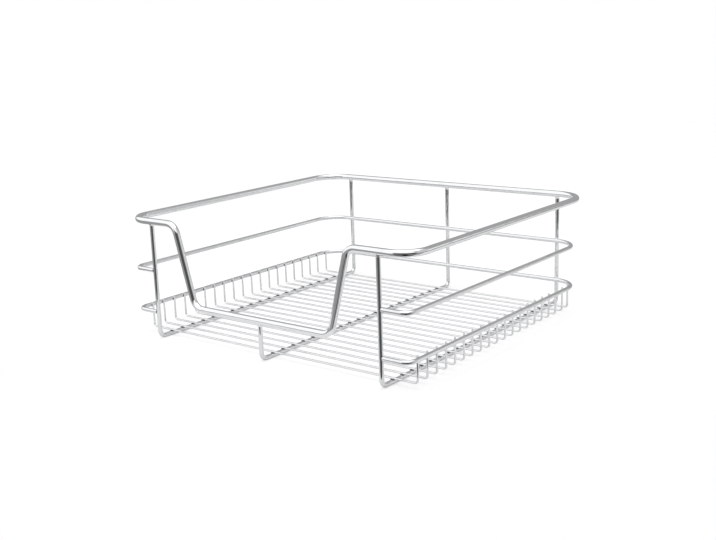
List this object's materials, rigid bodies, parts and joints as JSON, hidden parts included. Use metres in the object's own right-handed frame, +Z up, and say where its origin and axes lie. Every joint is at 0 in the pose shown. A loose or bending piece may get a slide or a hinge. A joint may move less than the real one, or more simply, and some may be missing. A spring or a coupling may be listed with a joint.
{
  "type": "pull-out cabinet basket",
  "caption": "Chromed wire basket for a pull-out in a kitchen base cabinet, with a closed rod rim that dips at the front, side rings and a wire tray.",
  "frame": {"origin": "middle of the footprint, on the surface under the three frame wires", "axes": "+X to the right along the cross wires, -Y out of the cabinet at the dipped front, +Z up"},
  "size_m": [0.528, 0.49, 0.186],
  "materials": {
    "rim_chrome": "polished chrome plate on steel rod",
    "ring_chrome": "polished chrome plate on steel wire",
    "frame_chrome": "polished chrome plate on steel wire",
    "tray_chrome": "polished chrome plate on thin steel wire"
  },
  "bodies": {
    "root": {"top_rim": "rim_chrome", "middle_ring": "ring_chrome", "lower_ring": "ring_chrome", "left_frame_wire": "frame_chrome", "centre_frame_wire": "frame_chrome", "right_frame_wire": "frame_chrome", "cross_wire_01": "tray_chrome", "cross_wire_02": "tray_chrome", "cross_wire_03": "tray_chrome", "cross_wire_04": "tray_chrome", "cross_wire_05": "tray_chrome", "cross_wire_06": "tray_chrome", "cross_wire_07": "tray_chrome", "cross_wire_08": "tray_chrome", "cross_wire_09": "tray_chrome", "cross_wire_10": "tray_chrome", "cross_wire_11": "tray_chrome", "cross_wire_12": "tray_chrome", "cross_wire_13": "tray_chrome", "cross_wire_14": "tray_chrome", "cross_wire_15": "tray_chrome", "cross_wire_16": "tray_chrome", "cross_wire_17": "tray_chrome", "cross_wire_18": "tray_chrome", "cross_wire_19": "tray_chrome", "cross_wire_20": "tray_chrome"}
  },
  "joints": []
}
